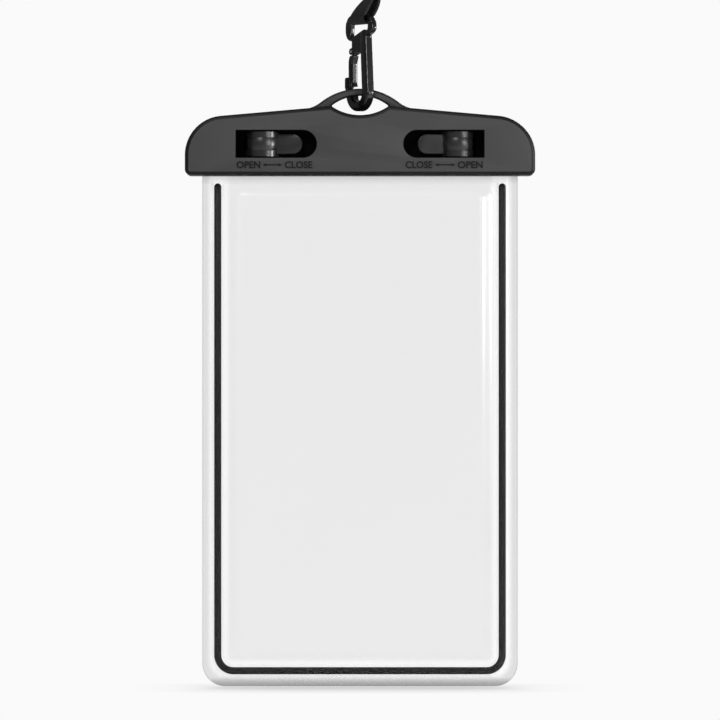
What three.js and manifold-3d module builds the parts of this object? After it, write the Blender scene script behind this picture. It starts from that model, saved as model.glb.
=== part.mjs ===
// A waterproof phone pouch: a clear two-sheet bag, a two-shell clamp with two cam locks, and the
// snap hook and webbing that it hangs from. Millimetres, +Z up, front towards -Y.
// Heights are written from the bag's bottom edge; the last lines move the origin to the hang point.
import * as THREE from "three";
import { mergeVertices } from "three/addons/utils/BufferGeometryUtils.js";
import Module from "manifold-3d";

// Fits
const GAP = 0.3; // between pieces that rest on each other
const RUN = 0.35; // between a turning piece and what is round it
const PROUD = 0.05; // how far a flared cut starts outside the face that it cuts
const BEYOND = 1; // how far a plain cut goes past the solid
const SWING_SPARE = 4; // degrees

// Bag
const BAG_WIDTH = 104.4;
const BAG_CORNER = 7.6;
const FILM = 0.45;
const WELD_WIDTH = 3.2; // flat weld outside the black strip
const BEAD_FLANK = 0.7; // slope of the film up to the strip
const STRIP_WIDTH = 2.4;
const STRIP_THICK = 1.0;
const STRIP_TOP_GAP = 2.5; // from the strip's round ends up to the clamp
const STRIP_CORNER = 6.4; // outer edge
const INNER_CORNER = 1; // smallest round of a path inside the bag
const WALL_RAMP = 6.2; // slope from the inner weld up to the pocket's flat panel
const POCKET_DEPTH = 8.3; // clear depth between the sheets
const TOP_RAMP = 7; // slope from the flat panel down to the clamp's jaws

// Clamp
const CLAMP_BOTTOM = 169;
const CLAMP_OVERHANG = 5.65; // past each side of the bag
const CLAMP_SIDE = 6.7; // height of the straight ends
const CLAMP_DEPTH = 14;
const SHOULDER_RADIUS = 13;
const SHOULDER_SLOPE = 5; // degrees
const FOOT_RADIUS = 2;
const CLAMP_BEVEL = 1.2;
const SHELL_WALL = 1.8;

// Lug for the hook
const LUG_RISE = 5.175; // crown above the point where the two shoulders' slopes would meet
const LUG_BAR = 2.4; // thickness at its crown
const LUG_DEPTH = 2.6;
const LUG_RADIUS = 21; // outer curve of the crown
const LUG_SWEEP = 38; // degrees of that curve on each side
const LUG_ROOT = 19; // half width where it leaves the shoulder
const LUG_ROOT_DEPTH = 4; // how far it reaches down into the shell
const EYE_WIDTH = 19.3;
const EYE_HEIGHT = 6.55;
const EYE_TIP_RISE = 3.1; // its tips above its lowest point
const EYE_BLUNT = 0.4;
const LUG_BEVEL = 0.7;

// Jaws and seal
const SEAL_THICK = 0.9;
const SEAL_HEIGHT = 2.6;
const SEAL_GROOVE = 0.36;
const JAW_LIP = 1.2; // from the clamp's bottom edge up to the seal

// Locks
const SLOT_INNER = 14.4; // round end, from the middle
const SLOT_LENGTH = 26.5;
const SLOT_RISE = 10.35; // middle above the clamp's bottom edge
const SLOT_HEIGHT = 8.9;
const SLOT_FLARE = 0.35;
const WELL_FLOOR = 1.4;
const BARREL_RADIUS = 5.6;
const BARREL_INSET = 8.5; // from the slot's square end
const BARREL_RECESS = 0.6; // front below the clamp's face
const KNURL_TEETH = 44;
const KNURL_DEPTH = 0.35;
const KNURL_BAND = 1.9;
const TONGUE_SHORT = 4.1; // tip from the slot's round end
const TONGUE_HEIGHT = 6.8;
const TONGUE_THICK = 1.5;
const TONGUE_FACE = 1.6; // in front of the barrel's axis
const TONGUE_TILT = 12; // degrees, tip outwards
const TONGUE_BEVEL = 0.35;
const LOCK_PIN_RADIUS = 0.9;
const LOCK_PIN_SHORT = 0.4; // ends below the barrel's
const POST_WIDTH = 3;
const POST_HEIGHT = 2.2;
const LOCK_SWING = 95; // degrees

// Fits of the pins
const PIN_TIGHT = 0.05;
const PIN_LOOSE = 0.15;

// Hook: places across it are from the bend's centre
const HOOK_CLEAR = 1.4; // above the eye's lowest point
const HOOK_TURN = 55; // degrees from the clamp's plane
const HOOK_THICK = 3.2;
const HOOK_BEVEL = 0.5;
const BEND_RADIUS = 6.2; // outer
const HOOK_BAR = 3.2;
const SPINE_RIGHT = 4.9; // outer edge at its top
const SPINE_TOP_BAR = 2.6;
const NOSE_HEIGHT = 11.5; // above the hook's lowest point
const NOSE_BAR = 1.5;
const NOSE_ROOT = 1.6; // above the bend's centre
const WEB_BOTTOM_HEIGHT = 19.1; // above the hook's lowest point
const WEB_HEIGHT = 6.5;
const WEB_LEFT = -3.5;
const WEB_RISE = 2.3; // slope of its top, up to the spine
const SPINE_RISE = 1.4; // above the web
const RING_RISE = 6.4; // ring's top above the web
const RING_WIDTH = 15.4;
const RING_BAR = 2.6;
const RING_THICK = 2.4;
const RING_TOP_BAR = 2; // height of its top bar, inside the webbing
const RING_TOP_THICK = 1.8;
const RING_SHIFT = 0.6; // middle
const RING_WAIST = 4.6; // widest part below its top
const RING_HOLE_ROUND = 1.6;
const GATE_BAR = 1.9;
const GATE_THICK = 2.8;
const GATE_PLACE = -4.1; // middle
const GATE_BEVEL = 0.5;
const GATE_NECK = 3; // its neck's height, in steps from the bar's line to the pin's
const GATE_FOOT = 0.5; // step at its end, inwards
const GATE_FOOT_HEIGHT = 1.2;
const GATE_PIN_PLACE = -3.2;
const GATE_PIN_RISE = 0.8; // above the web's bottom edge
const GATE_PIN_RADIUS = 0.5;
const GATE_BOSS = 1.15;
const GATE_PIN_SHORT = 0.1;

// Webbing
const STRAP_WIDTH = 8;
const STRAP_THICK = 0.8;
const LOOP_EASE = 0.2; // slack of the webbing round the ring, besides the gap
const PLY_GAP = 0.2;
const STRAP_STEPS = 84;
const STRAP_SKEW = 1.3; // sideways step of the plies beside the ring's bar
const LEAN_RATE = 0.57; // lean to the right above the ring, per height
const LEAN_HEIGHT = 7.8;
const STRAP_TWIST = 16; // degrees, over the same height
const CRIMP_RISE = 10.7; // above the ring
const CRIMP_HEIGHT = 7;
const CRIMP_WALL = 0.8;
const CRIMP_LIP = 1; // straight webbing below the crimp
const HANG_RISE = 7.5; // the hanging loop's middle above the crimp
const HANG_LOOP_RADIUS = 4; // inner
const HANG_LOOP_BEND = 3; // length of the bends under it

// Colours
const BLACK_PLASTIC = { color: 0x464646, roughness: 0.55, metalness: 0 };
const GLOSS_BLACK = { color: 0x161616, roughness: 0.25, metalness: 0 };
const WEBBING = { color: 0x1c1c1c, roughness: 0.9, metalness: 0 };
const STEEL = { color: 0xb8babd, roughness: 0.3, metalness: 1 };
const RUBBER = { color: 0x2a2a2a, roughness: 0.8, metalness: 0 };
const CLEAR = { color: 0xf4f6f7, roughness: 0.1, metalness: 0, transparent: true, opacity: 0.3 };

const wasm = await Module();
wasm.setup();

const rad = THREE.MathUtils.degToRad;

// Solids: a geometry as a manifold, and back
function solid(geometry) {
  const bare = geometry.index ? geometry.toNonIndexed() : geometry.clone();
  bare.deleteAttribute("normal");
  bare.deleteAttribute("uv");
  const merged = mergeVertices(bare, 1e-4);
  return new wasm.Manifold(
    new wasm.Mesh({
      numProp: 3,
      vertProperties: merged.attributes.position.array,
      triVerts: new Uint32Array(merged.index.array),
    }),
  );
}

function geometryOf(manifold) {
  const mesh = manifold.getMesh();
  const points = new Float32Array(mesh.numVert * 3);
  for (let i = 0; i < mesh.numVert; i++) {
    points.set(mesh.vertProperties.subarray(i * mesh.numProp, i * mesh.numProp + 3), i * 3);
  }
  const geometry = new THREE.BufferGeometry();
  geometry.setAttribute("position", new THREE.BufferAttribute(points, 3));
  geometry.setIndex(new THREE.BufferAttribute(new Uint32Array(mesh.triVerts), 1));
  return geometry;
}

function block(x0, x1, y0, y1, z0, z1) {
  const box = new THREE.BoxGeometry(x1 - x0, y1 - y0, z1 - z0);
  return solid(box.translate((x0 + x1) / 2, (y0 + y1) / 2, (z0 + z1) / 2));
}

// A shape drawn in X and Z, given depth from y0 to y1
function slab(shape, y0, y1, bevel = {}) {
  const thick = bevel.thick || 0;
  const geometry = new THREE.ExtrudeGeometry(shape, {
    depth: y1 - y0 - 2 * thick,
    bevelEnabled: thick > 0,
    bevelThickness: thick,
    bevelSize: bevel.size ?? thick,
    bevelOffset: bevel.offset ?? -thick,
    bevelSegments: bevel.segments ?? 2,
    curveSegments: bevel.curve ?? 10,
  });
  geometry.rotateX(Math.PI / 2);
  return solid(geometry.translate(0, y1 - thick, 0));
}

// An upright cylinder, or one along Y
function rod(radius, x, y, z0, z1, sides = 32) {
  const geometry = new THREE.CylinderGeometry(radius, radius, z1 - z0, sides);
  return solid(geometry.rotateX(Math.PI / 2).translate(x, y, (z0 + z1) / 2));
}

function rodAlongY(radius, x, z, y0, y1, sides = 24) {
  const geometry = new THREE.CylinderGeometry(radius, radius, y1 - y0, sides);
  return solid(geometry.translate(x, (y0 + y1) / 2, z));
}

function mesh(name, manifold, look) {
  const geometry = manifold.isBufferGeometry ? manifold : geometryOf(manifold);
  geometry.computeVertexNormals();
  const made = new THREE.Mesh(geometry, new THREE.MeshStandardMaterial(look));
  made.name = name;
  return made;
}

// Sizes that follow from the driving ones
const half = CLAMP_DEPTH / 2;
const filmFlat = GAP / 2 + FILM;
const jaw = filmFlat + GAP / 2 + SEAL_THICK + GAP / 2;
const sealBottom = CLAMP_BOTTOM + JAW_LIP;
const filmTop = sealBottom + SEAL_HEIGHT;
const jawTop = filmTop + GAP;
const stripInset = WELD_WIDTH + BEAD_FLANK + STRIP_WIDTH / 2;
const stripLow = stripInset - STRIP_WIDTH / 2;
const rampStart = stripInset + STRIP_WIDTH / 2 + BEAD_FLANK;

const smooth = (t) => THREE.MathUtils.smoothstep(t, 0, 1);
const between = (from, to, steps) =>
  Array.from({ length: steps }, (_, i) => from + ((to - from) * (i + 1)) / steps);

// Bag: a U-shaped path at an inset from the outer edge, from the top left round to the top right
const SIDE_PARTS = [1, 0.85, 0.7, 0.5, 0.25, 0];
const TOP_STEPS = 5;
const BEAD_STEPS = 5;
const WALL_STEPS = 6;
const CORNER_STEPS = 7;

// Corner radius of a path: over the weld it eases to the strip's, and from there it is parallel
function cornerAt(inset) {
  const weld = BAG_CORNER + (STRIP_CORNER - BAG_CORNER) * inset / stripLow;
  return Math.max(inset < stripLow ? weld : STRIP_CORNER + stripLow - inset, INNER_CORNER);
}

function bagPath(inset) {
  const w = BAG_WIDTH / 2 - inset;
  const r = cornerAt(inset);
  const rampFoot = CLAMP_BOTTOM - TOP_RAMP;
  const start = BAG_CORNER + rampStart + WALL_RAMP;
  const left = [[-w, filmTop], [-w, CLAMP_BOTTOM]];
  for (const z of between(CLAMP_BOTTOM, rampFoot, TOP_STEPS).slice(0, -1)) left.push([-w, z]);
  for (const t of SIDE_PARTS) left.push([-w, start + t * (rampFoot - start)]);
  for (let i = 0; i <= CORNER_STEPS; i++) {
    const a = (i / CORNER_STEPS) * (Math.PI / 2);
    left.push([-w + r - r * Math.cos(a), inset + r - r * Math.sin(a)]);
  }
  const right = left.map(([x, z]) => [-x, z]).reverse();
  return [...left, ...right];
}

// How far the bag's outer face stands from its middle plane
function bagHeight(inset, z) {
  const overStrip = STRIP_THICK / 2 + GAP / 2 + FILM;
  const fromStrip = Math.abs(inset - stripInset) - STRIP_WIDTH / 2;
  const stripPart = 1 - smooth(fromStrip / BEAD_FLANK);
  const stripEnd = 1 - smooth((z - (CLAMP_BOTTOM - STRIP_TOP_GAP)) / (STRIP_TOP_GAP - GAP));
  const bead = filmFlat + (overStrip - filmFlat) * stripPart * stripEnd;
  const panel = POCKET_DEPTH / 2 + FILM;
  const wall = smooth((inset - rampStart) / WALL_RAMP);
  const top = 1 - smooth((z - (CLAMP_BOTTOM - TOP_RAMP)) / (TOP_RAMP - GAP));
  return bead + (panel - filmFlat) * wall * top;
}

// One sheet, as rings of its outer face and its inner face that close at the edges
function film(side) {
  const beads = between(WELD_WIDTH, rampStart, BEAD_STEPS);
  const ramp = between(rampStart, rampStart + WALL_RAMP, WALL_STEPS);
  const insets = [0, WELD_WIDTH, ...beads, ...ramp];
  const paths = insets.map(bagPath);
  const count = paths[0].length;
  const points = [];
  for (const face of [0, FILM]) {
    paths.forEach((path, ring) => {
      for (const [x, z] of path) points.push(x, side * (bagHeight(insets[ring], z) - face), z);
    });
  }
  const layer = paths.length * count;
  const at = (face, ring, i) => face * layer + ring * count + i;
  const triangles = [];
  const quad = (a, b, c, d) => triangles.push(a, b, c, a, c, d);
  for (let ring = 0; ring + 1 < paths.length; ring++) {
    for (let i = 0; i + 1 < count; i++) {
      quad(at(0, ring, i), at(0, ring, i + 1), at(0, ring + 1, i + 1), at(0, ring + 1, i));
      quad(at(1, ring, i), at(1, ring + 1, i), at(1, ring + 1, i + 1), at(1, ring, i + 1));
    }
  }
  const last = paths.length - 1;
  for (let i = 0; i + 1 < count / 2; i++) {
    const j = count - 1 - i;
    quad(at(0, last, i), at(0, last, i + 1), at(0, last, j - 1), at(0, last, j));
    quad(at(1, last, i), at(1, last, j), at(1, last, j - 1), at(1, last, i + 1));
  }
  for (let i = 0; i + 1 < count; i++) {
    quad(at(0, 0, i), at(1, 0, i), at(1, 0, i + 1), at(0, 0, i + 1));
  }
  for (const end of [0, count - 1]) {
    for (let ring = 0; ring < last; ring++) {
      const a = at(0, ring, end);
      const b = at(0, ring + 1, end);
      const c = at(1, ring + 1, end);
      const d = at(1, ring, end);
      if (end === 0) quad(a, b, c, d);
      else quad(a, d, c, b);
    }
  }
  quad(at(0, last, 0), at(0, last, count - 1), at(1, last, count - 1), at(1, last, 0));
  if (side > 0) {
    for (let i = 0; i < triangles.length; i += 3) {
      [triangles[i + 1], triangles[i + 2]] = [triangles[i + 2], triangles[i + 1]];
    }
  }
  const geometry = new THREE.BufferGeometry();
  geometry.setAttribute("position", new THREE.Float32BufferAttribute(points, 3));
  geometry.setIndex(triangles);
  return geometry;
}

// Black strip: a U with round ends, between the sheets
function edgeStrip() {
  const outer = BAG_WIDTH / 2 - stripInset + STRIP_WIDTH / 2;
  const inner = outer - STRIP_WIDTH;
  const low = stripLow;
  const top = CLAMP_BOTTOM - STRIP_TOP_GAP - STRIP_WIDTH / 2;
  const r = cornerAt(low);
  const bend = cornerAt(low + STRIP_WIDTH);
  const shape = new THREE.Shape();
  shape.moveTo(-outer, top);
  shape.lineTo(-outer, low + r);
  shape.absarc(-outer + r, low + r, r, Math.PI, 1.5 * Math.PI);
  shape.lineTo(outer - r, low);
  shape.absarc(outer - r, low + r, r, 1.5 * Math.PI, 2 * Math.PI);
  shape.lineTo(outer, top);
  shape.absarc((outer + inner) / 2, top, STRIP_WIDTH / 2, 0, Math.PI);
  shape.lineTo(inner, low + STRIP_WIDTH + bend);
  shape.absarc(inner - bend, low + STRIP_WIDTH + bend, bend, 0, -Math.PI / 2, true);
  shape.lineTo(-inner + bend, low + STRIP_WIDTH);
  shape.absarc(-inner + bend, low + STRIP_WIDTH + bend, bend, 1.5 * Math.PI, Math.PI, true);
  shape.lineTo(-inner, top);
  shape.absarc(-(outer + inner) / 2, top, STRIP_WIDTH / 2, 0, Math.PI);
  return slab(shape, -STRIP_THICK / 2, STRIP_THICK / 2, { curve: 8 });
}

// Clamp: its outline, with the eye's lower edge dipping into its top
const clampHalf = BAG_WIDTH / 2 + CLAMP_OVERHANG;
const sideTop = CLAMP_BOTTOM + CLAMP_SIDE;
const slope = rad(SHOULDER_SLOPE);
const shoulderX = clampHalf - SHOULDER_RADIUS + SHOULDER_RADIUS * Math.sin(slope);
const shoulderZ = sideTop + SHOULDER_RADIUS * Math.cos(slope);
const slopeAt = (x) => shoulderZ + (shoulderX - x) * Math.tan(slope);
const lugTop = slopeAt(0) + LUG_RISE;
const eyeHalf = EYE_WIDTH / 2;
const eyeTop = lugTop - LUG_BAR;
const eyeBottom = eyeTop - EYE_HEIGHT;
const eyeTip = eyeBottom + EYE_TIP_RISE;
const slotOuter = SLOT_INNER + SLOT_LENGTH;
const slotCentre = CLAMP_BOTTOM + SLOT_RISE;
const slotBottom = slotCentre - SLOT_HEIGHT / 2;
const slotTop = slotCentre + SLOT_HEIGHT / 2;

// Radius of an arc over a chord of half width w that rises by h
const arcRadius = (w, h) => (w * w + h * h) / (2 * h);
const eyeLow = arcRadius(eyeHalf, eyeTip - eyeBottom);
const eyeHigh = arcRadius(eyeHalf, eyeTop - eyeTip);
const eyeLowAt = (x) => eyeBottom + eyeLow - Math.sqrt(eyeLow * eyeLow - x * x);

const HALVINGS = 40; // of the search below

// Where the shoulder's slope meets the eye's lower edge
function dipHalf() {
  let low = 0;
  let high = eyeHalf;
  for (let i = 0; i < HALVINGS; i++) {
    const x = (low + high) / 2;
    if (eyeLowAt(x) < slopeAt(x)) low = x;
    else high = x;
  }
  return low;
}

function clampShape() {
  const dip = dipHalf();
  const sweep = Math.asin(dip / eyeLow);
  const shape = new THREE.Shape();
  const foot = clampHalf - FOOT_RADIUS;
  const footZ = CLAMP_BOTTOM + FOOT_RADIUS;
  shape.moveTo(-clampHalf, footZ);
  shape.absarc(-foot, footZ, FOOT_RADIUS, Math.PI, 1.5 * Math.PI);
  shape.absarc(foot, footZ, FOOT_RADIUS, 1.5 * Math.PI, 2 * Math.PI);
  shape.absarc(clampHalf - SHOULDER_RADIUS, sideTop, SHOULDER_RADIUS, 0, Math.PI / 2 - slope);
  shape.lineTo(dip, slopeAt(dip));
  shape.absarc(0, eyeBottom + eyeLow, eyeLow, 1.5 * Math.PI + sweep, 1.5 * Math.PI - sweep, true);
  shape.absarc(-clampHalf + SHOULDER_RADIUS, sideTop, SHOULDER_RADIUS, Math.PI / 2 + slope, Math.PI);
  return shape;
}

// Crown of the lug, with a hollow curve on each side down to the shoulder's slope
function lugShape() {
  const centre = lugTop - LUG_RADIUS;
  const leave = rad(LUG_SWEEP);
  const x0 = LUG_RADIUS * Math.sin(leave);
  const z0 = centre + LUG_RADIUS * Math.cos(leave);
  const rootZ = slopeAt(LUG_ROOT);
  const steep = Math.tan(leave);
  const meet = (z0 + steep * x0 - slopeAt(0)) / (steep - Math.tan(slope));
  const foot = rootZ - LUG_ROOT_DEPTH;
  const shape = new THREE.Shape();
  shape.moveTo(LUG_ROOT, rootZ);
  shape.quadraticCurveTo(meet, slopeAt(meet), x0, z0);
  shape.absarc(0, centre, LUG_RADIUS, Math.PI / 2 - leave, Math.PI / 2 + leave);
  shape.quadraticCurveTo(-meet, slopeAt(meet), -LUG_ROOT, rootZ);
  shape.lineTo(-LUG_ROOT, foot);
  shape.lineTo(LUG_ROOT, foot);
  return shape;
}

// The eye is a lens with blunt tips
function eyeShape() {
  const low = Math.asin((eyeHalf - EYE_BLUNT) / eyeLow);
  const high = Math.asin((eyeHalf - EYE_BLUNT) / eyeHigh);
  const shape = new THREE.Shape();
  shape.absarc(0, eyeTop - eyeHigh, eyeHigh, Math.PI / 2 - high, Math.PI / 2 + high);
  shape.absarc(0, eyeBottom + eyeLow, eyeLow, 1.5 * Math.PI - low, 1.5 * Math.PI + low);
  return shape;
}

// Slot of the left lock: square at its outer end, round at the inner one
function slotShape() {
  const r = SLOT_HEIGHT / 2;
  const shape = new THREE.Shape();
  shape.moveTo(-slotOuter, slotBottom);
  shape.lineTo(-SLOT_INNER - r, slotBottom);
  shape.absarc(-SLOT_INNER - r, slotCentre, r, -Math.PI / 2, Math.PI / 2);
  shape.lineTo(-slotOuter, slotTop);
  return shape;
}

const mirrored = (m) => m.scale([-1, 1, 1]);
const bothSides = (m) => m.add(mirrored(m));

const barrelX = -slotOuter + BARREL_INSET;
const barrelY = -half + BARREL_RECESS + BARREL_RADIUS;
const clampBody = slab(clampShape(), -half, half, { thick: CLAMP_BEVEL, segments: 3 });
const below = CLAMP_BOTTOM - BEYOND;
const jawSpace = block(-BAG_WIDTH / 2 - GAP, BAG_WIDTH / 2 + GAP, -jaw, jaw, below, jawTop);

// Hollows behind the face: one between the locks, and one outside each
function shellHollow() {
  const floor = jawTop + SHELL_WALL;
  const depth = half - SHELL_WALL;
  const centre = SLOT_INNER - SHELL_WALL;
  const middle = block(-centre, centre, -depth, depth, floor, slotTop + SHELL_WALL / 2);
  const end = clampHalf - SHELL_WALL;
  const side = block(-end, -slotOuter - SHELL_WALL, -depth, depth, floor, slotCentre);
  return middle.add(bothSides(side));
}

function frontShell() {
  const flare = { thick: SLOT_FLARE, size: -SLOT_FLARE, offset: SLOT_FLARE, curve: 12 };
  const well = slab(slotShape(), -half - PROUD, -GAP / 2 - WELL_FLOOR, flare);
  const besideBarrel = barrelX + BARREL_RADIUS + RUN;
  const deep = block(-slotOuter, besideBarrel, -half + BEYOND, BEYOND, slotBottom, slotTop);
  const front = block(-clampHalf, clampHalf, -half - BEYOND, -GAP / 2, below, lugTop);
  return clampBody.intersect(front).subtract(jawSpace).subtract(shellHollow())
    .subtract(bothSides(well.add(deep)));
}

// The rear shell's lock post: a bar from the rear wall to the lever's pin
function lockPost() {
  const z0 = slotCentre - POST_HEIGHT / 2;
  const z1 = slotCentre + POST_HEIGHT / 2;
  const r = POST_WIDTH / 2;
  const bar = block(barrelX - r, barrelX + r, barrelY, half - SHELL_WALL / 2, z0, z1);
  const head = rod(r, barrelX, barrelY, z0, z1, 24);
  const bore = rod(LOCK_PIN_RADIUS + PIN_TIGHT, barrelX, barrelY, z0 - BEYOND, z1 + BEYOND, 16);
  return bar.add(head).subtract(bore);
}

function rearShell() {
  const rear = block(-clampHalf, clampHalf, GAP / 2, half + BEYOND, below, lugTop);
  const room = rod(BARREL_RADIUS + RUN, barrelX, barrelY, slotBottom, slotTop, 48);
  const shell = clampBody.intersect(rear).subtract(jawSpace).subtract(shellHollow())
    .subtract(bothSides(room));
  const flare = { thick: LUG_BEVEL, size: -LUG_BEVEL, offset: LUG_BEVEL, curve: 12 };
  const eye = slab(eyeShape(), -LUG_DEPTH / 2 - PROUD, LUG_DEPTH / 2 + PROUD, flare);
  const lug = slab(lugShape(), -LUG_DEPTH / 2, LUG_DEPTH / 2, { thick: LUG_BEVEL, curve: 12 })
    .subtract(eye);
  const inFront = slab(clampShape(), -half - BEYOND, GAP / 2);
  const lifted = inFront.add(inFront.translate([0, 0, GAP]));
  return shell.add(lug.subtract(lifted)).add(bothSides(lockPost()));
}

// Lock lever, drawn for the left lock
const leverTall = SLOT_HEIGHT / 2 - RUN;

// A ribbed band of the barrel
function knurled(z0, z1) {
  const shape = new THREE.Shape();
  for (let i = 0; i < 2 * KNURL_TEETH; i++) {
    const a = (i * Math.PI) / KNURL_TEETH;
    const r = BARREL_RADIUS - (i % 2) * KNURL_DEPTH;
    if (i === 0) shape.moveTo(r, 0);
    else shape.lineTo(r * Math.cos(a), r * Math.sin(a));
  }
  const geometry = new THREE.ExtrudeGeometry(shape, { depth: z1 - z0, bevelEnabled: false });
  return solid(geometry.translate(barrelX, barrelY, z0));
}

// The barrel's core, crowned between the two bands
function barrelCore() {
  const core = BARREL_RADIUS - KNURL_DEPTH;
  const bore = LOCK_PIN_RADIUS + PIN_LOOSE;
  const smoothPart = leverTall - KNURL_BAND;
  const profile = [[bore, -leverTall], [core, -leverTall], [core, -smoothPart]];
  for (const t of between(-1, 1, 8).slice(0, -1)) {
    profile.push([core + KNURL_DEPTH * (1 - t * t), t * smoothPart]);
  }
  profile.push([core, smoothPart], [core, leverTall], [bore, leverTall], [bore, -leverTall]);
  const points = profile.map(([r, z]) => new THREE.Vector2(r, z));
  const geometry = new THREE.LatheGeometry(points, KNURL_TEETH).rotateX(Math.PI / 2);
  return solid(geometry.translate(barrelX, barrelY, slotCentre));
}

function lockLever() {
  const low = slotCentre - leverTall;
  const high = slotCentre + leverTall;
  const r = TONGUE_HEIGHT / 2;
  const reach = -SLOT_INNER - TONGUE_SHORT - barrelX;
  const shape = new THREE.Shape();
  shape.moveTo(0, -r);
  shape.lineTo(reach - r, -r);
  shape.absarc(reach - r, 0, r, -Math.PI / 2, Math.PI / 2);
  shape.lineTo(0, r);
  const tongue = slab(shape, -TONGUE_FACE, TONGUE_THICK - TONGUE_FACE, { thick: TONGUE_BEVEL })
    .rotate([0, 0, -TONGUE_TILT])
    .translate([barrelX, barrelY, slotCentre]);
  const bore = rod(LOCK_PIN_RADIUS + PIN_LOOSE, barrelX, barrelY, low - BEYOND, high + BEYOND, 16);
  return barrelCore()
    .add(knurled(low, low + KNURL_BAND).subtract(bore))
    .add(knurled(high - KNURL_BAND, high).subtract(bore))
    .add(tongue.subtract(bore))
    .subtract(postSweep());
}

// Slit that lets the post through at every angle of the lever
function postSweep() {
  const reach = BARREL_RADIUS + BEYOND;
  const side = POST_WIDTH / 2 + RUN;
  const shape = new THREE.Shape();
  shape.moveTo(side, 0);
  shape.lineTo(side, reach);
  const end = Math.PI / 2 + rad(LOCK_SWING + SWING_SPARE);
  shape.absarc(0, 0, reach, Math.PI / 2, end);
  shape.lineTo(
    reach * Math.cos(end) - side * Math.sin(end), reach * Math.sin(end) + side * Math.cos(end),
  );
  shape.lineTo(-side * Math.sin(end), side * Math.cos(end));
  const tall = POST_HEIGHT / 2 + RUN;
  const options = { depth: 2 * tall, bevelEnabled: false, curveSegments: 12 };
  const geometry = new THREE.ExtrudeGeometry(shape, options);
  const wedge = solid(geometry.translate(barrelX, barrelY, slotCentre - tall));
  return wedge.add(rod(side, barrelX, barrelY, slotCentre - tall, slotCentre + tall, 24));
}

function lockPin() {
  const tall = leverTall - LOCK_PIN_SHORT;
  return rod(LOCK_PIN_RADIUS, barrelX, barrelY, slotCentre - tall, slotCentre + tall, 16);
}

function sealStrip(side) {
  const near = filmFlat + GAP / 2;
  const y0 = side < 0 ? -near - SEAL_THICK : near;
  const w = BAG_WIDTH / 2 - GAP;
  const shape = new THREE.Shape();
  const tip = y0 + (side < 0 ? SEAL_THICK : 0);
  const back = y0 + (side < 0 ? 0 : SEAL_THICK);
  const groove = tip + side * SEAL_GROOVE;
  const third = SEAL_HEIGHT / 3;
  shape.moveTo(sealBottom, back);
  shape.lineTo(sealBottom, tip);
  shape.lineTo(sealBottom + third, tip);
  shape.lineTo(sealBottom + 1.5 * third, groove);
  shape.lineTo(sealBottom + 2 * third, tip);
  shape.lineTo(sealBottom + SEAL_HEIGHT, tip);
  shape.lineTo(sealBottom + SEAL_HEIGHT, back);
  const geometry = new THREE.ExtrudeGeometry(shape, { depth: 2 * w, bevelEnabled: false });
  geometry.rotateY(-Math.PI / 2);
  return solid(geometry.translate(w, 0, 0));
}

// Hook: drawn flat in X and Z, then turned about Z with the gate and the webbing
const hookBottom = eyeBottom + HOOK_CLEAR;
const bendCentre = hookBottom + BEND_RADIUS;
const inside = BEND_RADIUS - HOOK_BAR;
const noseTop = hookBottom + NOSE_HEIGHT;
const webBottom = hookBottom + WEB_BOTTOM_HEIGHT;
const webTop = webBottom + WEB_HEIGHT;
const ringTop = webTop + RING_RISE;
const ringLeft = RING_SHIFT - RING_WIDTH / 2;
const ringRight = RING_SHIFT + RING_WIDTH / 2;
const gateLeft = GATE_PLACE - GATE_BAR / 2;
const gateRight = GATE_PLACE + GATE_BAR / 2;
const gatePin = webBottom + GATE_PIN_RISE;
const noseRight = gateLeft - RUN;
const noseLeft = noseRight - NOSE_BAR;
const spineLeft = SPINE_RIGHT - SPINE_TOP_BAR;

// Nose, bend and spine
function barShape() {
  const top = webTop + SPINE_RISE;
  const r = NOSE_BAR / 2;
  const shape = new THREE.Shape();
  shape.moveTo(noseLeft, noseTop - r);
  shape.lineTo(noseLeft, bendCentre + NOSE_ROOT);
  shape.quadraticCurveTo(-BEND_RADIUS, bendCentre + NOSE_ROOT / 2, -BEND_RADIUS, bendCentre);
  shape.absarc(0, bendCentre, BEND_RADIUS, Math.PI, 2 * Math.PI);
  shape.lineTo(SPINE_RIGHT, top - SPINE_TOP_BAR / 2);
  shape.quadraticCurveTo(SPINE_RIGHT, top, spineLeft + SPINE_TOP_BAR / 2, top);
  shape.lineTo(spineLeft, top - SPINE_TOP_BAR / 4);
  shape.lineTo(spineLeft, webBottom - SPINE_TOP_BAR / 2);
  shape.lineTo(inside, bendCentre);
  shape.absarc(0, bendCentre, inside, 0, -Math.PI, true);
  shape.quadraticCurveTo(-inside, bendCentre + NOSE_ROOT / 2, noseRight, bendCentre + NOSE_ROOT);
  shape.lineTo(noseRight, noseTop - r);
  shape.absarc(noseRight - r, noseTop - r, r, 0, Math.PI);
  return shape;
}

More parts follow.
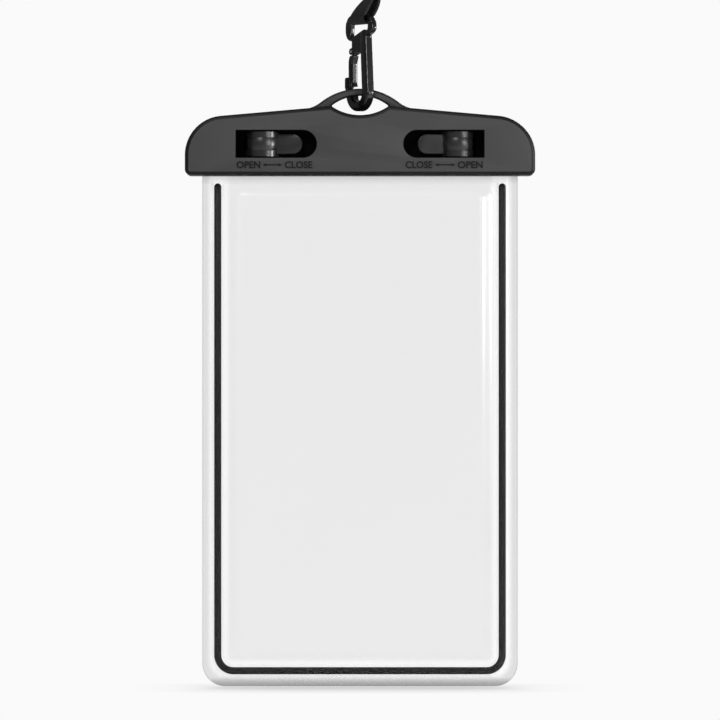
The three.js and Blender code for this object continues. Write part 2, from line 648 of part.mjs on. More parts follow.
// Ring for the webbing, and the web between it and the gate
function ringShape() {
  const waist = ringTop - RING_WAIST;
  const foot = webTop - WEB_RISE;
  const shoulder = RING_WIDTH / 4;
  const right = (SPINE_RIGHT + spineLeft) / 2;
  const shape = new THREE.Shape();
  shape.moveTo(right, webBottom);
  shape.lineTo(right, webTop - WEB_RISE / 2);
  shape.quadraticCurveTo(ringRight, webTop, ringRight, waist);
  shape.quadraticCurveTo(ringRight, ringTop, RING_SHIFT + shoulder, ringTop);
  shape.lineTo(RING_SHIFT - shoulder, ringTop);
  shape.quadraticCurveTo(ringLeft, ringTop, ringLeft, waist);
  shape.quadraticCurveTo(ringLeft, foot, WEB_LEFT, foot);
  shape.lineTo(WEB_LEFT, webBottom);
  const hole = new THREE.Path();
  const r = RING_HOLE_ROUND;
  const left = ringLeft + RING_BAR;
  const edge = ringRight - RING_BAR;
  const top = ringTop - RING_TOP_BAR;
  const high = webTop + WEB_RISE / 2;
  const low = webTop - WEB_RISE / 2;
  hole.moveTo(left + r / 2, low);
  hole.quadraticCurveTo(left, low, left, low + r);
  hole.quadraticCurveTo(left, top, left + r, top);
  hole.lineTo(edge - r, top);
  hole.quadraticCurveTo(edge, top, edge, high + r);
  hole.quadraticCurveTo(edge, high, edge - r / 2, high);
  hole.lineTo(spineLeft, high);
  shape.holes.push(hole);
  return shape;
}

function hookBody() {
  const t = HOOK_THICK / 2;
  const bar = slab(barShape(), -t, t, { thick: HOOK_BEVEL, curve: 9 });
  const ring = slab(ringShape(), -RING_THICK / 2, RING_THICK / 2, { thick: HOOK_BEVEL, curve: 9 });
  const boss = rodAlongY(GATE_BOSS, GATE_PIN_PLACE, gatePin, -t, t);
  const side = block(
    ringLeft - BEYOND, ringRight + BEYOND, RING_TOP_THICK / 2, t,
    ringTop - RING_TOP_BAR - GAP, ringTop + BEYOND,
  );
  const tang = HOOK_THICK / 4 + GAP / 2;
  const fork = block(
    gateLeft - BEYOND, gateRight + GATE_BOSS, -tang, tang,
    webBottom - BEYOND, gatePin + GATE_BOSS + GAP,
  );
  const bore = rodAlongY(
    GATE_PIN_RADIUS + PIN_TIGHT, GATE_PIN_PLACE, gatePin, -t - BEYOND, t + BEYOND, 16,
  );
  return bar.add(ring.subtract(side).subtract(side.scale([1, -1, 1]))).add(boss)
    .subtract(fork).subtract(bore);
}

// Gate: a bar from the fork down to the nose, with a step at its end
function hookGate() {
  const top = webBottom - GAP - PIN_LOOSE;
  const foot = bendCentre + NOSE_ROOT + GAP + PIN_LOOSE;
  const neck = GATE_PIN_PLACE - GATE_PLACE;
  const neckFoot = top - GATE_NECK * neck;
  const shape = new THREE.Shape();
  shape.moveTo(gateLeft + neck, top);
  shape.quadraticCurveTo(gateLeft, top - neck, gateLeft, neckFoot);
  shape.lineTo(gateLeft, foot);
  shape.lineTo(gateRight + GATE_FOOT, foot);
  shape.lineTo(gateRight, foot + GATE_FOOT_HEIGHT);
  shape.lineTo(gateRight, neckFoot);
  shape.lineTo(gateRight + neck, top);
  const t = GATE_THICK / 2;
  const bar = slab(shape, -t, t, { thick: GATE_BEVEL, curve: 6 });
  const tang = HOOK_THICK / 4 - GAP / 2;
  const r = GATE_BOSS - PIN_LOOSE;
  const link = block(
    GATE_PIN_PLACE - r + GATE_BEVEL, GATE_PIN_PLACE + r - GATE_BEVEL, -tang, tang,
    top - 2 * GATE_BEVEL, gatePin,
  );
  const eye = rodAlongY(r, GATE_PIN_PLACE, gatePin, -tang, tang, 20);
  const bore = rodAlongY(
    GATE_PIN_RADIUS + PIN_LOOSE, GATE_PIN_PLACE, gatePin, -t - BEYOND, t + BEYOND, 16,
  );
  return bar.add(link).add(eye).subtract(bore);
}

function hookGatePin() {
  const t = HOOK_THICK / 2 - GATE_PIN_SHORT;
  return rodAlongY(GATE_PIN_RADIUS, GATE_PIN_PLACE, gatePin, -t, t, 16);
}

// Webbing: one band that loops under the ring's top bar and over the hang point
const crimpBottom = ringTop + CRIMP_RISE;
const crimpTop = crimpBottom + CRIMP_HEIGHT;
const loopInner = Math.max(RING_TOP_BAR, RING_TOP_THICK) / 2 + GAP + LOOP_EASE;
const ringTurnZ = ringTop - RING_TOP_BAR / 2;
const loopTop = crimpTop + HANG_RISE;
const leanTop = ringTop + LEAN_HEIGHT;

// Share of the lean that is left where the webbing comes back over the middle
const leanLeft = (z) => 1 - THREE.MathUtils.clamp((z - leanTop) / (loopTop - leanTop), 0, 1);

// The webbing's middle line, across its width: from a butt joint inside the crimp, down and round
// the ring's bar, up through the crimp, over the hang point and back to the joint
function strapLine() {
  const apart = (STRAP_THICK + PLY_GAP) / 2;
  const ringTurn = loopInner + STRAP_THICK / 2;
  const topTurn = HANG_LOOP_RADIUS + STRAP_THICK / 2;
  const low = crimpBottom - CRIMP_LIP;
  const high = crimpTop + CRIMP_LIP / 2;
  const joint = (crimpBottom + crimpTop) / 2;
  const mid = (low + ringTop) / 2;
  const bend = HANG_LOOP_BEND;
  const line = new THREE.Path();
  line.moveTo(-apart, joint - PLY_GAP);
  line.lineTo(-apart, low);
  line.bezierCurveTo(-apart, mid, -ringTurn, mid, -ringTurn, ringTop);
  line.lineTo(-ringTurn, ringTurnZ);
  line.absarc(0, ringTurnZ, ringTurn, Math.PI, 2 * Math.PI);
  line.lineTo(ringTurn, ringTop);
  line.bezierCurveTo(ringTurn, mid, apart, mid, apart, low);
  line.lineTo(apart, high);
  line.bezierCurveTo(apart, high + bend, topTurn, loopTop - bend, topTurn, loopTop);
  line.absarc(0, loopTop, topTurn, 0, Math.PI);
  line.bezierCurveTo(-topTurn, loopTop - bend, -apart, high + bend, -apart, high);
  line.lineTo(-apart, joint + PLY_GAP);
  return line;
}

const STRAP_CORNERS = [[-1, -1], [1, -1], [1, 1], [-1, 1]];

function strap() {
  const line = strapLine();
  const points = [];
  for (let i = 0; i <= STRAP_STEPS; i++) {
    const at = line.getPointAt(i / STRAP_STEPS);
    const along = line.getTangentAt(i / STRAP_STEPS);
    for (const [side, face] of STRAP_CORNERS) {
      const off = (face * STRAP_THICK) / 2;
      points.push((side * STRAP_WIDTH) / 2, at.x - along.y * off, at.y + along.x * off);
    }
  }
  const triangles = [0, 1, 2, 0, 2, 3];
  const end = 4 * STRAP_STEPS;
  triangles.push(end, end + 2, end + 1, end, end + 3, end + 2);
  for (let i = 0; i < STRAP_STEPS; i++) {
    for (let k = 0; k < 4; k++) {
      const a = 4 * i + k;
      const b = 4 * i + ((k + 1) % 4);
      triangles.push(a, b + 4, b, a, a + 4, b + 4);
    }
  }
  const geometry = new THREE.BufferGeometry();
  geometry.setAttribute("position", new THREE.Float32BufferAttribute(points, 3));
  geometry.setIndex(triangles);
  return leaning(geometry);
}

// Turns a piece drawn across the hook's plane, steps it sideways beside the ring's bar, and twists
// and leans it with the webbing above
function leaning(geometry) {
  const place = geometry.attributes.position;
  for (let i = 0; i < place.count; i++) {
    const z = place.getZ(i);
    const rise = THREE.MathUtils.clamp((z - ringTop) / LEAN_HEIGHT, 0, 1);
    const step = STRAP_SKEW * smooth((z - ringTurnZ) / (ringTop - ringTurnZ));
    const turn = rad(HOOK_TURN + STRAP_TWIST * smooth(rise));
    const shift = (RING_SHIFT + step) * leanLeft(z);
    const lean = LEAN_RATE * LEAN_HEIGHT * rise * leanLeft(z);
    const [u, v] = [place.getX(i), place.getY(i)];
    const x = u * Math.cos(turn) + v * Math.sin(turn) + shift * Math.cos(rad(HOOK_TURN)) + lean;
    const y = v * Math.cos(turn) - u * Math.sin(turn) - shift * Math.sin(rad(HOOK_TURN));
    place.setXYZ(i, x, y, z);
  }
  return solid(geometry);
}

function crimp() {
  const w = STRAP_WIDTH / 2 + GAP;
  const d = STRAP_THICK + PLY_GAP / 2 + GAP;
  const ring = (x, y, Kind) => {
    const path = new Kind();
    path.moveTo(-x, -y);
    path.lineTo(x, -y);
    path.lineTo(x, y);
    path.lineTo(-x, y);
    path.closePath();
    return path;
  };
  const shape = ring(w + CRIMP_WALL, d + CRIMP_WALL, THREE.Shape);
  shape.holes.push(ring(w, d, THREE.Path));
  const options = { depth: CRIMP_HEIGHT, bevelEnabled: false, steps: 4 };
  const geometry = new THREE.ExtrudeGeometry(shape, options);
  return leaning(geometry.translate(0, 0, crimpBottom));
}

// Assembly
const pouch = new THREE.Group();
pouch.add(mesh("front_film", film(-1), CLEAR));
pouch.add(mesh("rear_film", film(1), CLEAR));
pouch.add(mesh("edge_strip", edgeStrip(), BLACK_PLASTIC));
pouch.add(mesh("clamp_front_shell", frontShell(), BLACK_PLASTIC));
pouch.add(mesh("clamp_rear_shell", rearShell(), BLACK_PLASTIC));
pouch.add(mesh("front_seal_strip", sealStrip(-1), RUBBER));
pouch.add(mesh("rear_seal_strip", sealStrip(1), RUBBER));
const lever = lockLever();
const lockAxle = lockPin();
pouch.add(mesh("left_lock_lever", lever, GLOSS_BLACK));
pouch.add(mesh("right_lock_lever", mirrored(lever), GLOSS_BLACK));
pouch.add(mesh("left_lock_pin", lockAxle, STEEL));
pouch.add(mesh("right_lock_pin", mirrored(lockAxle), STEEL));

const hook = new THREE.Group();
hook.rotation.z = -rad(HOOK_TURN);
hook.add(mesh("hook_body", hookBody(), GLOSS_BLACK));
hook.add(mesh("hook_gate", hookGate(), GLOSS_BLACK));
hook.add(mesh("hook_gate_pin", hookGatePin(), STEEL));

const webbing = new THREE.Group();
webbing.add(mesh("lanyard_strap", strap(), WEBBING));
webbing.add(mesh("strap_crimp", crimp(), STEEL));

const group = new THREE.Group();
const standing = new THREE.Group();
standing.position.z = -(loopTop + HANG_LOOP_RADIUS);
standing.add(pouch, hook, webbing);
group.add(standing);

export default group;
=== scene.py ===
"""Looks of the waterproof phone pouch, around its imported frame. Blender units are metres."""

import math

import bmesh
import bpy
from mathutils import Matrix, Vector, noise


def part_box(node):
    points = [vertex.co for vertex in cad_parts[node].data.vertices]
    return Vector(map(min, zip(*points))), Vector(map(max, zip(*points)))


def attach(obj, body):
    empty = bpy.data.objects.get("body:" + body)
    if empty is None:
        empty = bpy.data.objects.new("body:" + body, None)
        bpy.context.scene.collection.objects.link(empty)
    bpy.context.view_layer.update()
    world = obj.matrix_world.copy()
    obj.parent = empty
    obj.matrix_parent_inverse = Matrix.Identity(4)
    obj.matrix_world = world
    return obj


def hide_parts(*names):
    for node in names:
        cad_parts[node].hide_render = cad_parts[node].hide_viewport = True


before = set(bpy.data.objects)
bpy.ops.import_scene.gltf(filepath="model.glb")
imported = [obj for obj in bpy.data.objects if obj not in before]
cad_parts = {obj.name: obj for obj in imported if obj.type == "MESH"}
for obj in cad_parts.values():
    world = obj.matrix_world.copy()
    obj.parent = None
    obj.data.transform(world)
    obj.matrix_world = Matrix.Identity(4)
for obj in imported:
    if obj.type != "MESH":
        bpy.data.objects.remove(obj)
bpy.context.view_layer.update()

MM = 0.001

# Where things are, from the frame
FILM_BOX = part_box("front_film")
REAR_FILM_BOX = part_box("rear_film")
SHELL_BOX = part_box("clamp_front_shell")
BAG_BOTTOM = FILM_BOX[0][2]
BAG_WIDTH = FILM_BOX[1][0] - FILM_BOX[0][0]
FILM_TOP = FILM_BOX[1][2]
CLAMP_BOTTOM = SHELL_BOX[0][2]
CLAMP_FACE = SHELL_BOX[0][1]

# The photograph: its scale, and the height of its middle above the bag's bottom edge
PX = 0.33 * MM
PHOTO_SIZE = 720
PHOTO_MIDDLE = 0.108
LENS = 300
SENSOR = 36

# Film, as in the part's source
FILM = 0.45 * MM
FILM_GAP = 0.15 * MM
BAG_CORNER = 7.6 * MM
STRIP_CORNER = 6.4 * MM
INNER_CORNER = 1.0 * MM
WELD_WIDTH = 3.2 * MM
BEAD_SLOPE = 0.7 * MM
STRIP_WIDTH = 2.4 * MM
STRIP_THICK = 1.0 * MM
STRIP_TOP_GAP = 2.5 * MM
WALL_RAMP = 6.2 * MM
TOP_RAMP = 7.0 * MM
PANEL = REAR_FILM_BOX[1][1]

# Hook and webbing, as in the part's source
CRIMP_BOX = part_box("strap_crimp")
HOOK_TURN = math.radians(55)
RING_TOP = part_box("hook_body")[1][2]
RING_TOP_BAR = 2 * MM
RING_SHIFT = 0.6 * MM
LOOP_INNER = 1.5 * MM
STRAP_WIDTH = 8 * MM
STRAP_THICK = 0.8 * MM
PLY_GAP = 0.2 * MM
STRAP_SKEW = 1.3 * MM
LEAN_RATE = 0.57
LEAN_HEIGHT = 7.8 * MM
STRAP_TWIST = math.radians(16)
CRIMP_BOTTOM = CRIMP_BOX[0][2]
CRIMP_TOP = CRIMP_BOX[1][2]
CRIMP_LIP = 1 * MM
HANG_LOOP_RADIUS = 4 * MM
HANG_LOOP_BEND = 3 * MM
LOOP_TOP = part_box("lanyard_strap")[1][2] - STRAP_THICK - HANG_LOOP_RADIUS
RING_TURN_Z = RING_TOP - RING_TOP_BAR / 2
LEAN_TOP = RING_TOP + LEAN_HEIGHT


def smooth(t):
    t = min(max(t, 0.0), 1.0)
    return t * t * (3 - 2 * t)


def ramp(value, start, width):
    """0 up to start, 1 from a width further on, smooth between them."""
    return smooth((value - start) / width)


def link_in(obj):
    bpy.context.scene.collection.objects.link(obj)
    return obj


# Camera
def make_camera():
    data = bpy.data.cameras.new("camera")
    data.sensor_width = SENSOR
    data.lens = LENS
    distance = PHOTO_SIZE * PX * LENS / SENSOR
    camera = link_in(bpy.data.objects.new("camera", data))
    camera.location = (0, CLAMP_FACE - distance, BAG_BOTTOM + PHOTO_MIDDLE)
    camera.rotation_euler = (math.pi / 2, 0, 0)
    bpy.context.scene.camera = camera


# Meshes
def piece(name, verts, faces, body, stands_for=()):
    mesh = bpy.data.meshes.new(name)
    mesh.from_pydata(verts, [], faces)
    obj = bpy.data.objects.new(name, mesh)
    return settle(obj, body, stands_for)


def settle(obj, body, stands_for=()):
    """Puts a piece in the scene, with smooth shading, on its body and for its node."""
    if not obj.users_collection:
        link_in(obj)
    obj.data.shade_smooth()
    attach(obj, body)
    if stands_for:
        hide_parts(*stands_for)
    return obj


def apply_modifiers(obj):
    graph = bpy.context.evaluated_depsgraph_get()
    made = bpy.data.meshes.new_from_object(obj.evaluated_get(graph))
    obj.modifiers.clear()
    old = obj.data
    obj.data = made
    bpy.data.meshes.remove(old)


def copy_of(node, name):
    obj = link_in(bpy.data.objects.new(name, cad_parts[node].data.copy()))
    obj.data.materials.clear()
    return obj


def eased(node, name, body, width, sharp=35.0):
    """A node's own shape, its hard edges eased by a small round of this width, or left at 0."""
    obj = copy_of(node, name)
    made = bmesh.new()
    made.from_mesh(obj.data)
    bmesh.ops.remove_doubles(made, verts=made.verts, dist=1e-6)
    bmesh.ops.dissolve_limit(made, angle_limit=math.radians(0.5), verts=made.verts, edges=made.edges)
    made.to_mesh(obj.data)
    made.free()
    if width:
        bevel = obj.modifiers.new("ease", "BEVEL")
        bevel.width = width
        bevel.segments = 2
        bevel.limit_method = "ANGLE"
        bevel.angle_limit = math.radians(sharp)
        bevel.use_clamp_overlap = True
        apply_modifiers(obj)
    settle(obj, body, (node,))
    obj.data.set_sharp_from_angle(angle=math.radians(sharp))
    return obj


def moulded(node, name, body, voxel, rounds):
    """A node's own shape as one soft moulding: remeshed finely and smoothed."""
    obj = copy_of(node, name)
    remesh = obj.modifiers.new("remesh", "REMESH")
    remesh.mode = "VOXEL"
    remesh.voxel_size = voxel
    ease = obj.modifiers.new("ease", "SMOOTH")
    ease.factor = 0.5
    ease.iterations = rounds
    apply_modifiers(obj)
    return settle(obj, body, (node,))


# Materials
def new_material(name):
    made = bpy.data.materials.new(name)
    made.use_nodes = True
    nodes = made.node_tree.nodes
    return made, nodes, made.node_tree.links, nodes["Principled BSDF"]


def add_node(nodes, kind, **values):
    made = nodes.new(kind)
    for key, value in values.items():
        if key in made.inputs:
            made.inputs[key].default_value = value
        else:
            setattr(made, key, value)
    return made


def noise_node(nodes, links, scale, detail=4.0):
    place = nodes.new("ShaderNodeTexCoord")
    made = add_node(nodes, "ShaderNodeTexNoise", Scale=scale, Detail=detail)
    links.new(place.outputs["Object"], made.inputs["Vector"])
    return made


def seen_rays(nodes, links):
    """1 on what the camera sees, also through something clear, and 0 on the light that falls."""
    path = nodes.new("ShaderNodeLightPath")
    seen = nodes.new("ShaderNodeMath")
    seen.operation = "MAXIMUM"
    links.new(path.outputs["Is Camera Ray"], seen.inputs[0])
    links.new(path.outputs["Is Transmission Ray"], seen.inputs[1])
    return seen.outputs["Value"]


def varied(nodes, links, fac, low, high):
    """A value that runs from low to high with a factor."""
    made = nodes.new("ShaderNodeMapRange")
    made.inputs["To Min"].default_value = low
    made.inputs["To Max"].default_value = high
    links.new(fac, made.inputs["Value"])
    return made.outputs["Result"]


def mixed(nodes, links, fac, low, high):
    made = nodes.new("ShaderNodeMix")
    made.data_type = "RGBA"
    made.inputs["A"].default_value = (*low, 1)
    made.inputs["B"].default_value = (*high, 1)
    links.new(fac, made.inputs["Factor"])
    return made.outputs["Result"]


def grain(nodes, links, shader, height, distance, strength):
    bump = add_node(nodes, "ShaderNodeBump", Distance=distance, Strength=strength)
    links.new(height, bump.inputs["Height"])
    links.new(bump.outputs["Normal"], shader.inputs["Normal"])


def plastic(name, dark, light, rough, scale, depth, shine=0.3):
    """Moulded plastic between two greys: a fine grain, and slow changes of colour and gloss."""
    made, nodes, links, shader = new_material(name)
    slow = noise_node(nodes, links, 60.0, 2.0)
    colour = mixed(nodes, links, slow.outputs["Fac"], (dark,) * 3, (light,) * 3)
    links.new(colour, shader.inputs["Base Color"])
    links.new(varied(nodes, links, slow.outputs["Fac"], *rough), shader.inputs["Roughness"])
    shader.inputs["Specular IOR Level"].default_value = shine
    fine = noise_node(nodes, links, scale)
    grain(nodes, links, shader, fine.outputs["Fac"], depth, 0.5)
    return made


def film_look():
    """Clear film without bending of light: each face lets a share through, with shade and highlight
    painted into that share.
    Beside the strip a white diffuse is painted on as a highlight, and all of it is glossy."""
    made, nodes, links, _ = new_material("clear_film")
    nodes.remove(nodes["Principled BSDF"])
    # clear: the share let through, with painted shade and painted highlight in it
    clear = add_node(nodes, "ShaderNodeAttribute", attribute_name="clear")
    # White painted on beside the strip as a highlight
    painted_highlight = add_node(nodes, "ShaderNodeAttribute", attribute_name="painted_highlight")
    through = nodes.new("ShaderNodeBsdfTransparent")
    links.new(clear.outputs["Fac"], through.inputs["Color"])
    white = add_node(nodes, "ShaderNodeBsdfDiffuse", Color=(0.97, 0.97, 0.97, 1))
    body = nodes.new("ShaderNodeMixShader")
    links.new(painted_highlight.outputs["Fac"], body.inputs["Fac"])
    links.new(through.outputs["BSDF"], body.inputs[1])
    links.new(white.outputs["BSDF"], body.inputs[2])
    gloss = nodes.new("ShaderNodeBsdfGlossy")
    slow = noise_node(nodes, links, 35.0, 2.0)
    links.new(varied(nodes, links, slow.outputs["Fac"], 0.16, 0.26), gloss.inputs["Roughness"])
    wave = noise_node(nodes, links, 90.0, 2.0)
    grain(nodes, links, gloss, wave.outputs["Fac"], 0.15 * MM, 0.25)
    facing = add_node(nodes, "ShaderNodeFresnel", IOR=1.2)
    coat = nodes.new("ShaderNodeMixShader")
    links.new(facing.outputs["Fac"], coat.inputs["Fac"])
    links.new(body.outputs["Shader"], coat.inputs[1])
    links.new(gloss.outputs["BSDF"], coat.inputs[2])
    links.new(coat.outputs["Shader"], nodes["Material Output"].inputs["Surface"])
    return made


def webbing():
    """Black polyester webbing: ribs across the band, from its own UV map, with a fine twill."""
    made, nodes, links, shader = new_material("webbing")
    place = nodes.new("ShaderNodeUVMap")
    place.uv_map = "weave"
    across = add_node(nodes, "ShaderNodeTexWave", Scale=1.0, Distortion=0.6, Detail=1.0)
    across.bands_direction = "DIAGONAL"
    links.new(place.outputs["UV"], across.inputs["Vector"])
    colour = mixed(nodes, links, across.outputs["Fac"], (0.004, 0.004, 0.0045), (0.014, 0.014, 0.015))
    links.new(colour, shader.inputs["Base Color"])
    shader.inputs["Roughness"].default_value = 0.65
    shader.inputs["Specular IOR Level"].default_value = 0.3
    grain(nodes, links, shader, across.outputs["Fac"], 0.12 * MM, 0.7)
    return made


def metal(name, colour, rough, metallic=1.0):
    made, nodes, links, shader = new_material(name)
    shader.inputs["Metallic"].default_value = metallic
    slow = noise_node(nodes, links, 400.0)
    bright = tuple(min(1, c * 1.2) for c in colour)
    links.new(mixed(nodes, links, slow.outputs["Fac"], colour, bright), shader.inputs["Base Color"])
    links.new(varied(nodes, links, slow.outputs["Fac"], rough, rough + 0.1), shader.inputs["Roughness"])
    return made


def make_materials():
    return {
        "film": film_look(),
        "strip": plastic("edge_strip", 0.003, 0.006, (0.4, 0.5), scale=900, depth=0.02 * MM),
        "clamp": plastic(
            "clamp_plastic", 0.046, 0.056, (0.5, 0.6), scale=2600, depth=0.05 * MM, shine=0.15
        ),
        # Edge colour: painted shade, much darker than the face; the lettering takes it too
        "edge": plastic(
            "clamp_edge_painted_shade", 0.006, 0.009, (0.4, 0.48), scale=1200, depth=0.01 * MM, shine=0.15
        ),
        # Wells of the locks painted black as the shade inside them
        "well": plastic(
            "lock_well", 0.001, 0.002, (0.5, 0.6), scale=1200, depth=0.01 * MM, shine=0.03
        ),
        "lock": plastic(
            "lock_plastic", 0.008, 0.014, (0.3, 0.38), scale=1200, depth=0.01 * MM, shine=0.5
        ),
        "hook": plastic("hook_plastic", 0.004, 0.007, (0.13, 0.18), scale=900, depth=0.01 * MM),
        "webbing": webbing(),
        "rubber": plastic("seal_rubber", 0.02, 0.03, (0.7, 0.8), scale=1500, depth=0.03 * MM),
        "steel": metal("steel", (0.5, 0.51, 0.52), 0.28),
        "crimp": metal("crimp_paint", (0.02, 0.02, 0.021), 0.35, 0.0),
    }


# Bag
STRIP_INSET = WELD_WIDTH + BEAD_SLOPE + STRIP_WIDTH / 2
STRIP_LOW = STRIP_INSET - STRIP_WIDTH / 2
RAMP_START = STRIP_INSET + STRIP_WIDTH / 2 + BEAD_SLOPE
FLAT = FILM_GAP + FILM
OVER_STRIP = STRIP_THICK / 2 + FLAT
TOP_REST = 0.4 * MM
STRIP_TOP_REST = 0.3 * MM


def film_height(inset, z):
    """How far the bag's outer face stands from its middle plane."""
    bead = 1 - smooth((abs(inset - STRIP_INSET) - STRIP_WIDTH / 2) / BEAD_SLOPE)
    bead *= 1 - ramp(z, CLAMP_BOTTOM - STRIP_TOP_GAP, STRIP_TOP_GAP - STRIP_TOP_REST)
    wall = ramp(inset, RAMP_START, WALL_RAMP)
    top = 1 - ramp(z, CLAMP_BOTTOM - TOP_RAMP, TOP_RAMP - TOP_REST)
    return FLAT + (OVER_STRIP - FLAT) * bead + (PANEL - FLAT) * wall * top


def corner_at(inset):
    """A path's corner radius: over the weld it eases to the strip's, then it is parallel."""
    if inset < STRIP_LOW:
        return BAG_CORNER + (STRIP_CORNER - BAG_CORNER) * inset / STRIP_LOW
    return max(STRIP_CORNER + STRIP_LOW - inset, INNER_CORNER)


# Steps of the sheet's mesh: along each side, round each corner, and across the panel
SIDES = 110
CORNER = 12
COLUMNS = 26


def film_path(inset):
    """A U at an inset from the bag's edge, from the top left round to the top right."""
    w = BAG_WIDTH / 2 - inset
    r = corner_at(inset)
    start = BAG_CORNER + RAMP_START + WALL_RAMP + BAG_BOTTOM
    left = [(-w, FILM_TOP + (start - FILM_TOP) * i / SIDES) for i in range(SIDES + 1)]
    for i in range(CORNER + 1):
        a = math.pi / 2 * i / CORNER
        left.append((-w + r - r * math.cos(a), BAG_BOTTOM + inset + r - r * math.sin(a)))
    return left + [(-x, z) for x, z in reversed(left)]


# Slow waves of the sheet
WAVE_HEIGHT = 0.35 * MM
WAVE_RATE_X = 38
WAVE_RATE_Z = 26
WAVE_FADE = 14 * MM
SHEETS_APART = 5.3  # in the noise, so that the two sheets differ


def sag(x, z, side):
    """Slow waves of the sheet, nothing at its weld."""
    edge = min(BAG_WIDTH / 2 - abs(x), z - BAG_BOTTOM, CLAMP_BOTTOM - z)
    place = Vector((x * WAVE_RATE_X, side * SHEETS_APART, z * WAVE_RATE_Z))
    return WAVE_HEIGHT * ramp(edge, RAMP_START, WAVE_FADE) * noise.noise(place)


# Shares of light that one face of the sheet lets through or keeps back, painted shade among them
EDGE_CLEAR = 0.94
FLOOR_PAINTED_SHADOW_CLEAR = 0.81
RIM_PAINTED_SHADE = 0.06
POCKET_LOSS = 0.032
CLAMP_PAINTED_SHADOW = 0.085
# White painted on beside the strip as a highlight
STRIP_HIGHLIGHT_PAINT = 0.2


def clearness_and_painted_light(inset, z):
    """How much light one face of the sheet lets through: all of it beside the strip, as a painted
    highlight, less over the pocket, and less again as painted shade at the outer edge, by the floor and
    under the clamp."""
    # Full clearness towards the strip is a painted highlight
    outer = EDGE_CLEAR + (1 - EDGE_CLEAR) * ramp(inset, 1.3 * MM, 1.9 * MM)
    # A painted dark line along the cut edge
    outer -= RIM_PAINTED_SHADE * (1 - ramp(inset, 0, 0.35 * MM))
    # Painted shadow of the floor along the bottom edge
    floor = FLOOR_PAINTED_SHADOW_CLEAR + (1 - FLOOR_PAINTED_SHADOW_CLEAR) * ramp(z, BAG_BOTTOM + 0.6 * MM, 3.4 * MM)
    # Full clearness beside the strip, a painted highlight, falls off to the pocket's tint
    inner = 1 - POCKET_LOSS * ramp(inset, STRIP_INSET + STRIP_WIDTH / 2 + 0.9 * MM, 2.3 * MM)
    # Painted shadow under the clamp
    painted_shadow = 1 - CLAMP_PAINTED_SHADOW * (1 - smooth((CLAMP_BOTTOM - z) / (3 * MM)))
    return min(outer, floor, inner) * painted_shadow


def strip_highlight_paint(inset, z):
    """How much white is painted on the weld as a highlight: most beside the strip, fading out on both
    sides.
    """
    off = abs(inset - STRIP_INSET) - STRIP_WIDTH / 2
    wide = 1.6 * MM if inset > STRIP_INSET else 2.2 * MM
    painted_highlight = STRIP_HIGHLIGHT_PAINT * ramp(off, 0, 0.25 * MM) * (1 - ramp(off, 0, wide))
    return painted_highlight * (1 - ramp(z, CLAMP_BOTTOM - 3 * MM, 2.4 * MM))


def film_steps():
    """Insets of the rings that follow the sheet's edge, closer where it bends."""
    bead = STRIP_WIDTH + 2 * BEAD_SLOPE
    steps = [0.0, 0.2 * MM, 0.45 * MM]
    steps += [WELD_WIDTH * i / 5 for i in range(1, 5)]
    steps += [WELD_WIDTH + bead * i / 14 for i in range(15)]
    return steps + [RAMP_START + WALL_RAMP * i / 12 for i in range(1, 13)]


def film_points(steps, paths):
    """Each point's x, z and inset on one face: all the rings, then the rows inside them."""
    points = [(x, z, step) for step, path in zip(steps, paths) for x, z in path]
    ring = paths[-1]
    for i in range(len(ring) // 2):
        (x0, z), (x1, _) = ring[i], ring[len(ring) - 1 - i]
        points += [(x0 + (x1 - x0) * k / COLUMNS, z, steps[-1]) for k in range(1, COLUMNS)]
    return points


def film_faces(rings, count, layer):
    """The faces of both layers of points and of the rim between them."""

    def at(ring, i):
        return ring * count + i

    def inside(i, k):
        if k == 0:
            return at(rings - 1, i)
        if k == COLUMNS:
            return at(rings - 1, count - 1 - i)
        return rings * count + i * (COLUMNS - 1) + k - 1

    quads = [
        (at(ring, i), at(ring, i + 1), at(ring + 1, i + 1), at(ring + 1, i))
        for ring in range(rings - 1) for i in range(count - 1)
    ]
    quads += [
        (inside(i, k), inside(i + 1, k), inside(i + 1, k + 1), inside(i, k + 1))
        for i in range(count // 2 - 1) for k in range(COLUMNS)
    ]
    rim = [at(0, i) for i in range(count)]
    rim += [at(ring, count - 1) for ring in range(1, rings)]
    rim += [inside(0, k) for k in range(COLUMNS - 1, 0, -1)]
    rim += [at(ring, 0) for ring in range(rings - 1, 0, -1)]
    faces = quads + [tuple(v + layer for v in reversed(quad)) for quad in quads]
    return faces + [(b, b + layer, a + layer, a) for a, b in zip(rim, rim[1:] + rim[:1])]


def film_mesh(side, node, name, material):
    """One sheet of film, with how clear it is at each point, painted shade and highlight included, and
    the white painted on its outer face as a highlight.
    """
    steps = film_steps()
    paths = [film_path(step) for step in steps]
    points = film_points(steps, paths)
    verts, clear, painted_highlight = [], [], []
    for depth in (0, FILM):
        for x, z, inset in points:
            y = film_height(inset, z) - depth
            verts.append((x, side * (y + sag(x, z, side)), z))
            clear.append(clearness_and_painted_light(inset, z))
            painted_highlight.append(0.0 if depth else strip_highlight_paint(inset, z))
    faces = film_faces(len(paths), len(paths[0]), len(points))
    if side > 0:
        faces = [tuple(reversed(f)) for f in faces]
    obj = piece(name, verts, faces, "pouch", (node,))
    # clear carries painted shade and highlight, the second attribute the white painted on as a
    # highlight
    for label, values in (("clear", clear), ("painted_highlight", painted_highlight)):
        obj.data.attributes.new(label, "FLOAT", "POINT").data.foreach_set("value", values)
    obj.data.materials.append(material)
    obj.data.set_sharp_from_angle(angle=math.radians(50))
    return obj


def make_strip(material):
    """The black strip, with its corners rounded as a pressed cord's are."""
    obj = eased("edge_strip", "black_edge_strip", "pouch", 0.4 * MM, 60.0)
    obj.data.materials.append(material)
    return obj


